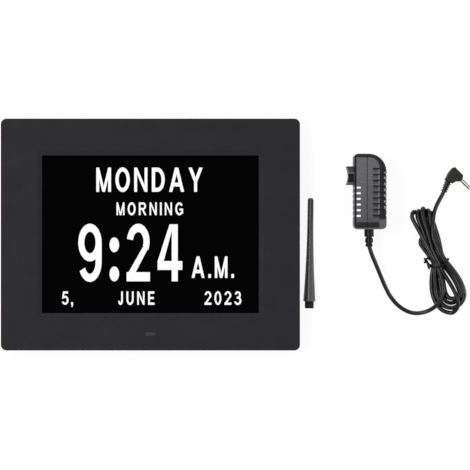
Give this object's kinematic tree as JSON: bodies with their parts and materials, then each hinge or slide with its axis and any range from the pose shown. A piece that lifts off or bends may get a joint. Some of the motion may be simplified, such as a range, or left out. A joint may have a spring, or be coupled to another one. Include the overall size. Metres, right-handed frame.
{
  "type": "dementia day clock",
  "caption": "Dementia day clock with a spelled-out readout, lying flat beside its screw-in stand leg and its mains adapter with a tied-up cord.",
  "frame": {"origin": "middle of the flat face on the clock's back, at the table", "axes": "+X to the clock's right-hand side, +Y to its top edge, +Z out of the screen"},
  "size_m": [0.3539, 0.1736, 0.038],
  "materials": {
    "black_plastic": "fine-textured matte",
    "button_plastic": "satin",
    "eye_plastic": "smoked, smooth",
    "screen_glass": "black, smooth",
    "clear_acrylic": "clear, polished",
    "white_film": "milky matte",
    "sheet_steel": "zinc-plated",
    "screw_steel": "black zinc",
    "circuit_board": "solder-masked",
    "chip_resin": "moulded resin",
    "socket_nylon": "moulded",
    "can_aluminium": "sleeved can",
    "cell_steel": "bright",
    "flat_cable": "polyimide film",
    "led_strip_board": "white board",
    "speaker_paper": "pressed paper",
    "ferrite": "sintered",
    "brass": "machined",
    "leg_plastic": "satin",
    "adapter_plastic": "spark-textured",
    "winding_tape": "taped winding",
    "soft_pvc": "satin PVC",
    "tie_wire": "plastic-coated wire",
    "plug_nickel": "nickel-plated",
    "plug_yellow": "moulded ring"
  },
  "bodies": {
    "clock": {"front_bezel": "black_plastic", "rear_cover": "black_plastic", "stand_socket": "brass", "sensor_window": "eye_plastic", "sensor_board": "circuit_board", "ir_receiver": "chip_resin", "lcd_glass": "screen_glass", "diffuser_sheet": "white_film", "light_guide": "clear_acrylic", "led_strip": "led_strip_board", "lcd_frame": "sheet_steel", "main_board": "circuit_board", "processor_chip": "chip_resin", "memory_chip": "chip_resin", "board_capacitors": "can_aluminium", "coin_cell": "cell_steel", "coin_cell_holder": "chip_resin", "board_connectors": "socket_nylon", "lcd_flex": "flat_cable", "sensor_ribbon": "flat_cable", "button_ribbon": "flat_cable", "speaker_leads": "soft_pvc", "dc_jack": "chip_resin", "speaker_frame": "sheet_steel", "speaker_magnet": "ferrite", "speaker_cone": "speaker_paper", "tact_switches": "chip_resin", "button_board": "circuit_board", "case_screws": "screw_steel", "small_screws": "screw_steel"},
    "stand_leg": {"leg_rod": "leg_plastic", "leg_stud": "screw_steel"},
    "adapter": {"adapter_base_shell": "adapter_plastic", "adapter_cover_shell": "adapter_plastic", "plug_nose": "black_plastic", "plug_contacts": "brass", "adapter_board": "circuit_board", "transformer_core": "ferrite", "transformer_winding": "winding_tape", "bulk_capacitor": "can_aluminium", "output_capacitor": "can_aluminium", "strain_relief": "soft_pvc", "dc_cord_lead": "soft_pvc", "dc_cord_hank": "soft_pvc", "dc_cord_tail": "soft_pvc", "cord_tie": "tie_wire", "dc_plug_body": "soft_pvc", "dc_plug_sleeve": "plug_nickel", "dc_plug_tip": "plug_yellow", "dc_plug_contact": "brass"},
    "button_power": {"button_power": "button_plastic"},
    "button_menu": {"button_menu": "button_plastic"},
    "button_left": {"button_left": "button_plastic"},
    "button_ok": {"button_ok": "button_plastic"},
    "button_right": {"button_right": "button_plastic"},
    "button_up": {"button_up": "button_plastic"},
    "button_down": {"button_down": "button_plastic"}
  },
  "joints": [
    {"name": "button_power_press", "type": "slide", "parent": "clock", "child": "button_power", "axis": [0, 0, 1], "range_m": [0, 0.0004], "stiffness_N_per_m": 400, "springref_m": -0.0005},
    {"name": "button_menu_press", "type": "slide", "parent": "clock", "child": "button_menu", "axis": [0, 0, 1], "range_m": [0, 0.0004], "stiffness_N_per_m": 400, "springref_m": -0.0005},
    {"name": "button_left_press", "type": "slide", "parent": "clock", "child": "button_left", "axis": [0, 0, 1], "range_m": [0, 0.0004], "stiffness_N_per_m": 400, "springref_m": -0.0005},
    {"name": "button_ok_press", "type": "slide", "parent": "clock", "child": "button_ok", "axis": [0, 0, 1], "range_m": [0, 0.0004], "stiffness_N_per_m": 400, "springref_m": -0.0005},
    {"name": "button_right_press", "type": "slide", "parent": "clock", "child": "button_right", "axis": [0, 0, 1], "range_m": [0, 0.0004], "stiffness_N_per_m": 400, "springref_m": -0.0005},
    {"name": "button_up_press", "type": "slide", "parent": "clock", "child": "button_up", "axis": [0, 0, 1], "range_m": [0, 0.0004], "stiffness_N_per_m": 400, "springref_m": -0.0005},
    {"name": "button_down_press", "type": "slide", "parent": "clock", "child": "button_down", "axis": [0, 0, 1], "range_m": [0, 0.0004], "stiffness_N_per_m": 400, "springref_m": -0.0005},
    {"name": "stand_leg_lift", "type": "slide", "parent": "clock", "child": "stand_leg", "axis": [0, 0, 1], "range_m": [0, 0.06]},
    {"name": "adapter_lift", "type": "slide", "parent": "clock", "child": "adapter", "axis": [0, 0, 1], "range_m": [0, 0.06]}
  ]
}
